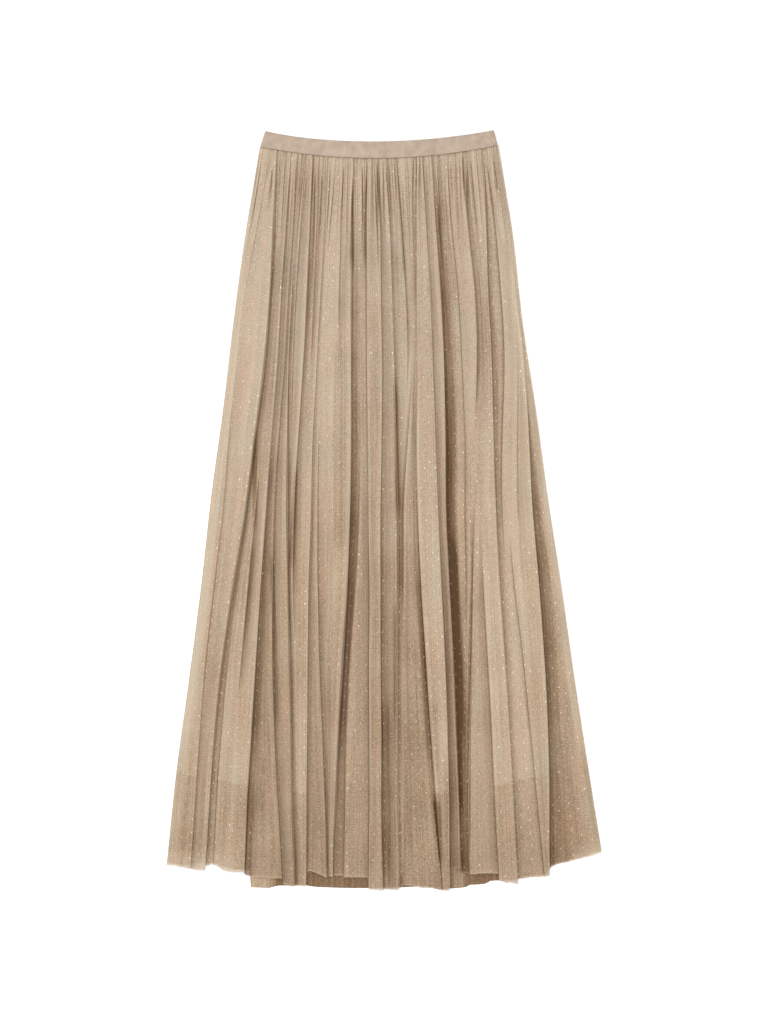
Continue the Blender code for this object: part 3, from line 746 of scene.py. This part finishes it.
def gather_tone(seam, long):
    """Fine gathers under the band: painted shadow lines at seeded places along the seam, each
    with its own start, length, width and lean, thin at the seam and wider below, and a painted
    highlight on the side where the net swells up beside it. Gives the painted shade taken away
    and the painted highlight added."""
    rng = np.random.default_rng(GATHER_SEED)
    places = np.arange(seam.min() + 2 * MM, seam.max() - 2 * MM, GATHER_PITCH)
    dark, pale = 0 * long, 0 * long
    for place in places + rng.uniform(-0.35, 0.35, len(places)) * GATHER_PITCH:
        start = 38 * MM * rng.uniform(0, 1) ** 2
        length = rng.uniform(60, 190) * MM
        wide = rng.uniform(0.42, 0.85) * MM
        wide = wide * (0.75 + 0.95 * ease(2.2 * (long - start) / length))
        away = (seam - place - rng.uniform(-0.02, 0.02) * long) / wide
        run = ease((long - start) / (9 * MM) + 0.35) * (1 - ease((long - start) / length))
        run = run * rng.uniform(0.2, 1.1) ** 1.2
        dark = np.maximum(dark, run * np.exp(-away ** 2))
        pale = np.maximum(pale, run * np.exp(-(away + 2.2) ** 2))
    return dark, GATHER_PAINTED_HIGHLIGHT * pale


def stroke_tone(grid):
    """Painted shade that the table of strokes takes away, and painted highlight where a stroke's
    tone is below zero, crisp at a stroke's left side and softer at its right."""
    x, y = reading_of(grid[..., 0]), CENTRE_Y - grid[..., 1] / UNIT
    tone = 0 * x
    for row in PAINTED_STROKES:
        t = np.clip((y - row.top) / (row.bottom - row.top), 0, 1)
        left = row.left + t * (row.low_left - row.left)
        right = row.right + t * (row.low_right - row.right)
        soft = 0.45 * (right - left)
        inside = ease((x - left) / 1.2 + 0.5) * ease((right - x) / soft + 0.5)
        fade = min(STROKE_END * (row.bottom - row.top), LONGEST_END)
        ends = ease((y - row.top) / fade) * ease((row.bottom - y) / fade)
        tone = tone + row.tone * inside * ends
    return tone


def make_front():
    """Gathered front panel, its sides rolled down to meet the back panel, and its tone."""
    share = np.concatenate([[0.0, 0.0015, 0.004], np.linspace(0.01, 1.0, FRONT_ROWS - 6),
                            [LINING_SHARE, LINING_SHARE + LINING_STEP, CUT_EDGE]])
    share.sort()
    grid, tone = front_surface(share, FRONT_SAMPLES)
    columns = np.arange(len(grid))[:, None] / (len(grid) - 1)
    inside = ease(np.minimum(columns, 1 - columns) / 0.012)
    wide, long = cloth_places(grid)
    near_seam = np.exp(-long / CREASE_FADE)
    stray = value_noise(wide, long, 16 * MM, 100 * MM, STRAY_SEED)
    grid[..., 0] += STRAY * (1 + near_seam) * stray * inside
    grid[..., 1] += FRAY * value_noise(wide, long, FRAY_PITCH, 1.0, FRAY_SEED) * ease(
        (share - FRAY_START) / (1 - FRAY_START))
    grid[..., 2] += np.maximum(uneven(wide, long) * inside, -0.25 * MM) - 0.5 * TULLE_WALL
    return grid, front_tone(grid, share, tone, wide, long)


def front_tone(grid, share, tone, wide, long):
    """Tone of the front panel: that of its folds with their painted shadows and highlights, with
    the painted shade of the creases, the painted shadows and highlights of the gathers under the
    band and of the strokes, the painted shadow line and painted light at the seam, the streaks,
    the cut edge and the lone net at the sides."""
    near_seam = np.exp(-long / CREASE_FADE)
    crease = value_noise(wide, long, CREASE_PITCH, CREASE_LENGTH, CREASE_SEED)
    slope = np.abs(np.gradient(crease, axis=0)) / np.maximum(np.gradient(wide, axis=0), 1e-9)
    crease = (1 - np.abs(crease)) ** 9 * ease(slope * CREASE_PITCH - 0.3)
    streak = sum(weight * value_noise(wide, long, pitch, length, STREAK_SEED + k)
                 for k, (pitch, length, weight) in enumerate(STREAKS))
    # Painted shade in the creases, faint all down the skirt and stronger near the seam
    tone = tone - crease * (CREASE_PAINTED_SHADE + CREASE_PAINTED_SHADE_SEAM * near_seam)
    # Painted shadow lines of the gathers under the band and painted highlights on their sides
    dark, pale = gather_tone(grid[:, :1, 0], long)
    # Painted shadows and highlights of the strokes
    tone = tone - dark * np.clip((tone - 0.35) / 0.6, 0.2, 1) + pale - stroke_tone(grid)
    # Painted light on the net just under the band, and a thin painted shadow line where it meets
    # the band
    tone = tone + SEAM_PAINTED_LIGHT * np.exp(-long / SEAM_GLOW) - SEAM_PAINTED_SHADOW * np.exp(-long / SEAM_LINE)
    tone = tone + streak * (0.6 + 0.2 * near_seam) + CUT_LIGHT * (share > CUT_EDGE)
    strip = side_strip(grid, share) * (1 - 0.7 * ease((share - 0.8) / 0.08))
    return tone + STRIP_TONE * strip * (0.1 + 0.9 * ease((share - 0.05) / 0.25))


def side_strip(grid, share):
    """From 1 at the two side edges to 0 where the lining begins: there the net lies alone
    over the pale table."""
    left, right = side_edges(share)
    inward = np.minimum(grid[..., 0] - left, right - grid[..., 0])
    inset = lining_inset(share)
    return 1 - ease((inward - 0.45 * inset) / (0.4 * inset))


def make_back():
    """Back panel lying on the table, its pleats pressed almost flat."""
    share = np.concatenate([np.linspace(0.0, 0.95, 56), [0.965, 0.98, 1.0]])
    grid, _ = front_surface(share, 2)
    left, right = side_edges(share)
    part = (grid[..., 0] - left) / (right - left)
    mirrored = (1 - part)[::-1]
    x = left + np.clip(mirrored, 0, 1) * (right - left)
    reading = reading_of(x)
    short = np.interp(reading, [r.across for r in BACK_HEM], [r.short for r in BACK_HEM]) * MM
    y = place_down(x, share, short)
    height = (grid[..., 2] - TULLE_WALL - GAP - layer_lift(share))[::-1]
    z = REST_HEIGHT + PRESSED * np.clip(height - 2.6 * MM, 0, 12 * MM)
    lone = 0.0
    for row in LONE_BACK:
        bare = ease((reading - row.start) / 2) * (1 - ease((reading - row.end) / row.soft))
        lone = np.maximum(lone, row.share * bare)
    # Painted shade of the front over the back panel, deeper past the lining's hem and at the hem,
    # and lifted where the front's hem leaves it bare
    tone = (BACK_SHADED_TONE - BACK_PAINTED_SHADE * ease((share - LINING_SHARE + 0.02) / 0.04)
            - BACK_HEM_PAINTED_SHADE * ease((share - 0.955) / 0.02) * (1 - lone) + 0.12 * lone)
    return np.stack([x, y, z], axis=2), tone


def dots_on(name, grid, tone, material, lift, flip=False):
    """Glitter dots on a sheet: little hexagons in columns down the cloth, each column half a
    step down from the next, laid in the cloth's own plane and dimmed as much as the net round
    them, its painted shade included. Fewer of them glint where the net is gathered close or
    stands steep."""
    wide, long = cloth_places(grid)
    n = unit(np.cross(np.gradient(grid, axis=1), np.gradient(grid, axis=0)))
    line = wide[:, 0]
    rng = np.random.default_rng(DOT_SEED)
    at_u, at_v = np.meshgrid(np.arange(DOT_COLUMNS / 2, line[-1], DOT_COLUMNS),
                             np.arange(0.0, long.max(), DOT_ROWS), indexing="ij")
    at_v = at_v + np.where(np.arange(len(at_u)) % 2, DOT_ROWS / 2, 0.0)[:, None]
    at_u = (at_u + rng.uniform(-0.4, 0.4, at_u.shape) * MM).ravel()
    at_v = (at_v + rng.uniform(-0.5, 0.5, at_v.shape) * MM).ravel()
    column = np.clip(np.searchsorted(line, at_u) - 1, 0, len(line) - 2)
    span = np.maximum(line[column + 1] - line[column], 1e-9)
    s = (at_u - line[column]) / span
    length = long[column, -1]
    seen = np.linalg.norm(np.diff(grid, axis=0), axis=2).sum(axis=0)
    seen = np.interp(at_v, long[0], seen / seen[grid.shape[1] * 2 // 3])
    row = np.clip((long[column] <= at_v[:, None]).sum(axis=1) - 1, 0, grid.shape[1] - 2)
    flat = np.abs(n[column, row, 2])
    shown = np.linalg.norm(grid[column + 1, row] - grid[column, row], axis=1)
    flat = flat * np.minimum(shown / span, 1)
    keep = (at_v > 6 * MM) & (at_v < length - 3 * MM) & (s >= 0) & (s <= 1)
    keep &= rng.uniform(0, 1, len(at_v)) < np.maximum(seen, 0) ** 1.5 * flat
    column, row, s, at_v = column[keep], row[keep], s[keep], at_v[keep]
    t = (at_v - long[column, row]) / np.maximum(long[column, row + 1] - long[column, row], 1e-9)
    centre, up, dim = (between(values, column, row, s[:, None], t[:, None])
                       for values in (grid, n, tone[..., None]))
    up = unit(up)
    down = unit(grid[column, row + 1] - grid[column, row])
    side = unit(np.cross(down, up))
    angle = np.arange(DOT_SIDES) * 2 * math.pi / DOT_SIDES
    size = rng.uniform(0.8, 1.15, len(centre))[:, None, None]
    rim = (side[:, None] * DOT_WIDE * np.cos(angle)[None, :, None]
           + down[:, None] * DOT_LONG * np.sin(angle)[None, :, None]) * size
    points = (centre + lift * up)[:, None] + rim
    faces = np.arange(points.shape[0] * DOT_SIDES).reshape(-1, DOT_SIDES)
    if not flip:
        faces = faces[:, ::-1]
    return add_mesh(name, points.reshape(-1, 3), faces, material, shade=dim.repeat(DOT_SIDES))


def make_lining(layer):
    """Upper and lower face of a lining panel."""
    part = np.linspace(0.0, 1.0, 61)[:, None]
    share = np.linspace(0.0, LINING_SHARE, 50)[None, :]
    left, right = side_edges(share)
    left, right = left + lining_inset(share), right - lining_inset(share)
    x = left + part * (right - left)
    y = place_down(x, share)
    low = TULLE_WALL + GAP + layer_lift(share) + layer * (LINING_WALL + GAP) + 0 * part
    wave = 0.12 * MM * value_noise(x, y, 30 * MM, 200 * MM, LINING_SEED + layer)
    return [np.stack([x, y, low + face * LINING_WALL + wave], axis=2) for face in LINING_FACES]


def make_band(low, thickness, front):
    """Upper and lower face of one half of the waistband, its long edges and ends rounded."""
    part = np.linspace(0.0, 1.0, 161)[:, None]
    steps = np.linspace(0.0, 1.0, 25)[None, :]
    steps = 0.5 - 0.5 * np.cos(steps * math.pi)
    left = BAND_LEFT[0] + steps * (BAND_LEFT[1] - BAND_LEFT[0])
    right = BAND_RIGHT[0] + steps * (BAND_RIGHT[1] - BAND_RIGHT[0])
    reading = left + part * (right - left)
    top, bottom = arc_reading(reading, BAND_TOP), arc_reading(reading, BAND_BOTTOM)
    top = top - BAND_END_RISE * np.clip((BAND_TOP[0] - reading) / BAND_END_SPAN, 0, 1.05) ** 4
    x, y = across(reading), along(top + steps * (bottom - top))
    edge = np.minimum(np.minimum(steps, 1 - steps) * BAND_HEIGHT,
                      np.minimum(part, 1 - part) * BAND_LENGTH)
    round_off = np.sqrt(np.clip(1 - (1 - np.clip(edge / (0.6 * thickness), 0, 1)) ** 2, 0, 1))
    puff = 0.18 * MM * value_noise(x, y, 26 * MM, 14 * MM, PUFF_SEED) * ease(edge / (4 * MM))
    slant = x - across(DENT_AT[0]) + 0.6 * (y - along(DENT_AT[1]))
    dent = DENT_DEPTH * np.exp(-(slant / DENT_WIDTH) ** 2)
    puff = puff - dent * ease(edge / (3 * MM)) * front
    half = thickness / 2
    middle = low + half
    upper = np.stack([x, y, middle + (half - 0.3 * MM) * round_off + puff], axis=2)
    lower = np.stack([x, y, middle - half * round_off], axis=2)
    return upper, lower


def linear(hex_colour):
    """sRGB hex to linear RGBA."""
    parts = [int(hex_colour[k:k + 2], 16) / 255 for k in (1, 3, 5)]
    return [p / 12.92 if p <= 0.04045 else ((p + 0.055) / 1.055) ** 2.4 for p in parts] + [1.0]


def add(tree, kind, inputs=(), **settings):
    """Adds one shader node. inputs pairs each socket with a value or the socket feeding it."""
    node = tree.nodes.new("ShaderNode" + kind)
    for key, value in settings.items():
        setattr(node, key, value)
    for socket, value in dict(inputs).items():
        if isinstance(value, bpy.types.NodeSocket):
            tree.links.new(value, node.inputs[socket])
        else:
            node.inputs[socket].default_value = value
    return node


def new_material(name, settings):
    """Material with one Principled shader, and its tree and shader."""
    material = bpy.data.materials.new(name)
    material.use_nodes = True
    shader = material.node_tree.nodes["Principled BSDF"]
    for socket, value in settings.items():
        shader.inputs[socket].default_value = value
    return material, material.node_tree, shader


def wave_of(tree, value, pitch):
    """Sine of a length over a pitch, from 0 to 1."""
    turned = add(tree, "Math", {0: value, 1: 2 * math.pi / pitch}, operation="MULTIPLY")
    sine = add(tree, "Math", {0: turned.outputs[0]}, operation="SINE")
    return add(tree, "Math", {0: sine.outputs[0], 1: 0.5, 2: 0.5},
               operation="MULTIPLY_ADD").outputs[0]


def tulle_material(name, alpha):
    """Nylon tulle: a fine net that lets a little of what lies under it through. Its yarns
    read as a grain, weaker where it lies pale and thin, and as thin streaks down the cloth.
    Its colour follows the shade attribute from a painted shadow brown in its depths up to a
    painted highlight pale, greyer up where it is gathered close, and its hue drifts a little
    between rose and olive. The real mesh is about 0.7 mm and too fine for the picture, so it is
    drawn at about 3 mm."""
    material, tree, shader = new_material(name, {
        "Roughness": 0.8, "Sheen Weight": 0.05, "Sheen Roughness": 0.5, "Alpha": alpha,
        "Specular IOR Level": 0.12})
    places = add(tree, "TexCoord")
    cloth, space = places.outputs["UV"], places.outputs["Object"]
    parts = add(tree, "SeparateXYZ", {"Vector": space})
    down = wave_of(tree, parts.outputs["X"], MESH[0])
    over = wave_of(tree, parts.outputs["Y"], MESH[1])
    net = add(tree, "Math", {0: down, 1: over}, operation="MULTIPLY").outputs[0]
    grain = add(tree, "TexNoise", {"Vector": space, "Scale": 1 / GRAIN,
                                   "Detail": 1.0}).outputs["Fac"]
    fields = []
    for pitch, length in (YARN_STREAK, HUE_DRIFT):
        drawn = add(tree, "Mapping", {"Vector": cloth, "Scale": (1 / pitch, 1 / length, 1.0)})
        fields.append(add(tree, "TexNoise", {"Vector": drawn.outputs[0], "Scale": 1.0,
                                             "Detail": 2.0}).outputs["Fac"])
    streak, drift = fields
    patch = add(tree, "TexNoise", {"Vector": space, "Scale": 16.0, "Detail": 2.0}).outputs["Fac"]
    clouded = add(tree, "Attribute", attribute_name="shade").outputs["Fac"]
    for field, weight in ((streak, 0.50), (patch, 0.30)):
        clouded = add(tree, "Math", {0: field, 1: weight, 2: clouded},
                      operation="MULTIPLY_ADD").outputs[0]
    high = add(tree, "MapRange", {"Value": parts.outputs["Y"], "From Min": -0.1,
                                  "From Max": 0.4})
    plain = add(tree, "Mix", {0: high.outputs["Result"], 6: linear(NET_LOW),
                              7: linear(NET_HIGH)}, data_type="RGBA")
    # Painted shade and light: the colour steps from the painted shadow brown through the plain
    # colour to the painted highlight pale as the shade attribute rises
    colour = linear(NET_PAINTED_SHADOW)
    for start, end, lighter in ((0.50, 0.86, linear(NET_BROWN)), (0.86, 1.30, plain.outputs[2]),
                                (1.30, 1.75, linear(NET_PALE))):
        step = add(tree, "MapRange", {"Value": clouded, "From Min": start, "From Max": end})
        colour = add(tree, "Mix", {0: step.outputs["Result"], 6: colour, 7: lighter},
                     data_type="RGBA").outputs[2]
    depth = add(tree, "MapRange", {"Value": clouded, "From Min": 1.15, "From Max": 1.65,
                                   "To Min": 1.05, "To Max": 0.45})
    speck = add(tree, "Math", {0: grain, 1: 0.5}, operation="SUBTRACT").outputs[0]
    speck = add(tree, "Math", {0: speck, 1: depth.outputs["Result"]},
                operation="MULTIPLY").outputs[0]
    yarn = add(tree, "Math", {0: speck, 1: 1.15, 2: 1.00}, operation="MULTIPLY_ADD")
    mesh = add(tree, "Math", {0: net, 1: 0.17, 2: yarn.outputs[0]},
               operation="MULTIPLY_ADD").outputs[0]
    drift = add(tree, "MapRange", {"Value": drift, "From Min": 0.3, "From Max": 0.7})
    tint = add(tree, "Mix", {0: drift.outputs["Result"], 6: linear(NET_ROSE),
                             7: linear(NET_OLIVE)}, data_type="RGBA").outputs[2]
    for factor in (mesh, tint):
        colour = add(tree, "Mix", {0: 1.0, 6: colour, 7: factor}, data_type="RGBA",
                     blend_type="MULTIPLY").outputs[2]
    tree.links.new(colour, shader.inputs["Base Color"])
    height = add(tree, "Math", {0: grain, 1: 0.6, 2: net},
                 operation="MULTIPLY_ADD").outputs[0]
    bump = add(tree, "Bump", {"Strength": 0.3, "Distance": 0.3 * MM, "Height": height})
    tree.links.new(bump.outputs[0], shader.inputs["Normal"])
    return material


def satin_material(name, colours, roughness, thread, strength):
    """Polyester satin: smooth, with a soft gloss and a fine twill of threads. The real
    threads are about 0.15 mm apart and are drawn coarser."""
    material, tree, shader = new_material(name, {
        "Roughness": roughness, "Sheen Weight": 0.15, "Specular IOR Level": 0.4})
    place = add(tree, "TexCoord").outputs["UV"]
    parts = add(tree, "SeparateXYZ", {"Vector": place})
    slant = add(tree, "Math", {0: parts.outputs["X"], 1: parts.outputs["Y"]},
                operation="ADD").outputs[0]
    twill = wave_of(tree, slant, thread)
    cloud = add(tree, "TexNoise", {"Vector": place, "Scale": 90.0, "Detail": 5.0})
    base = add(tree, "Mix", {0: cloud.outputs["Fac"], 6: linear(colours[0]),
                             7: linear(colours[1])}, data_type="RGBA")
    woven = add(tree, "Mix", {0: 0.08, 6: base.outputs[2], 7: twill},
                data_type="RGBA", blend_type="MULTIPLY")
    tree.links.new(woven.outputs[2], shader.inputs["Base Color"])
    bump = add(tree, "Bump", {"Strength": strength, "Distance": 0.15 * MM, "Height": twill})
    tree.links.new(bump.outputs[0], shader.inputs["Normal"])
    return material


def dot_material():
    """Glitter foil dots: pale champagne gold, brighter than the net, some duller than others, and
    painted darker in the net's painted shade.
    """
    material, tree, shader = new_material("glitter_foil", {
        "Roughness": 0.4, "Metallic": 0.2, "Specular IOR Level": 0.6})
    island = add(tree, "NewGeometry").outputs["Random Per Island"]
    tone = add(tree, "Attribute", attribute_name="shade").outputs["Fac"]
    dim = add(tree, "MapRange", {"Value": tone, "From Min": 0.1, "From Max": 1.0})
    glint = add(tree, "Math", {0: island, 1: 1.8}, operation="POWER").outputs[0]
    gold = add(tree, "Mix", {0: glint, 6: linear(FOIL_COLOURS[0]), 7: linear(FOIL_COLOURS[1])},
               data_type="RGBA")
    # Painted shade: the foil darkens to its shaded colour where the net's tone is low
    shown = add(tree, "Mix", {0: dim.outputs["Result"], 6: linear(FOIL_PAINTED_SHADE),
                              7: gold.outputs[2]}, data_type="RGBA")
    tree.links.new(shown.outputs[2], shader.inputs["Base Color"])
    return material


def finish_piece(piece, nodes):
    """Attaches the piece to the root and hides the CAD parts that it stands for."""
    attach(piece, "root")
    if nodes:
        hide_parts(*nodes)


def light(lamp):
    """Square soft light aimed at the middle of the skirt."""
    area = bpy.data.lights.new(lamp.name, "AREA")
    area.shape = "SQUARE"
    area.size = lamp.size
    area.energy = lamp.power
    holder = placed(lamp.name, area)
    holder.location = lamp.place
    holder.rotation_euler = (-Vector(lamp.place)).to_track_quat("-Z", "Y").to_euler()


def studio():
    """Floor of matt white paper, soft lights and the camera straight over the skirt."""
    paper, _, _ = new_material("paper", {
        "Base Color": (0.93, 0.93, 0.93, 1.0), "Roughness": 0.9, "Specular IOR Level": 0.1})
    corners = HALF_FLOOR * np.array([[-1, -1, 0], [1, -1, 0], [1, 1, 0], [-1, 1, 0]])
    floor = add_mesh("floor", corners, np.array([[0, 1, 2, 3]]), paper)
    for lamp in LAMPS:
        light(lamp)
    world = bpy.data.worlds.new("studio")
    bpy.context.scene.world = world
    world.use_nodes = True
    sky = world.node_tree.nodes["Background"]
    sky.inputs["Color"].default_value = (1.0, 1.0, 1.0, 1.0)
    sky.inputs["Strength"].default_value = ROOM_LIGHT
    camera = bpy.data.cameras.new("camera")
    camera.sensor_width = 36.0
    half_view = PICTURE_HEIGHT / 2 * UNIT
    camera.lens = camera.sensor_width / 2 * (CAMERA_HEIGHT - LOOK_LEVEL) / half_view
    holder = placed("camera", camera)
    holder.location = (across(PICTURE_WIDTH / 2), along(PICTURE_HEIGHT / 2), CAMERA_HEIGHT)
    bpy.context.scene.camera = holder
    bpy.context.scene.view_settings.view_transform = "Standard"


def main():
    """Makes every piece, dresses it and sets up the studio."""
    tulle = tulle_material("nylon_tulle", 0.80)
    under_tulle = tulle_material("nylon_tulle_under", 0.96)
    band = satin_material("polyester_satin_band", BAND_COLOURS, 0.5, 1.4 * MM, 0.15)
    lining = satin_material("polyester_satin_lining", LINING_COLOURS, 0.4, 1.6 * MM, 0.1)
    foil = dot_material()

    grid, shade = make_front()
    front = sheet_piece("tulle_front_net", grid, tulle, shade)
    finish_piece(front, ["tulle_front"])
    back_grid, back_tone = make_back()
    back = sheet_piece("tulle_back_net", back_grid, under_tulle, back_tone, True)
    finish_piece(back, ["tulle_back"])
    dots = dots_on("glitter_dots_front", grid, shade, foil, 0.12 * MM)
    finish_piece(dots, [])
    under = dots_on("glitter_dots_back", back_grid, back_tone, foil, -0.12 * MM, True)
    finish_piece(under, [])
    for layer, name in enumerate(("lining_back", "lining_front")):
        piece = closed_piece(name + "_satin", *make_lining(layer), lining)
        finish_piece(piece, [name])
    for name, low, thick, is_front in (
            ("waistband_back", 0.0, BAND_BACK_WALL, False),
            ("waistband_front", BAND_BACK_WALL + GAP, BAND_FRONT_WALL, True)):
        piece = closed_piece(name + "_satin", *make_band(low, thick, is_front), band)
        finish_piece(piece, [name])
    studio()


main()
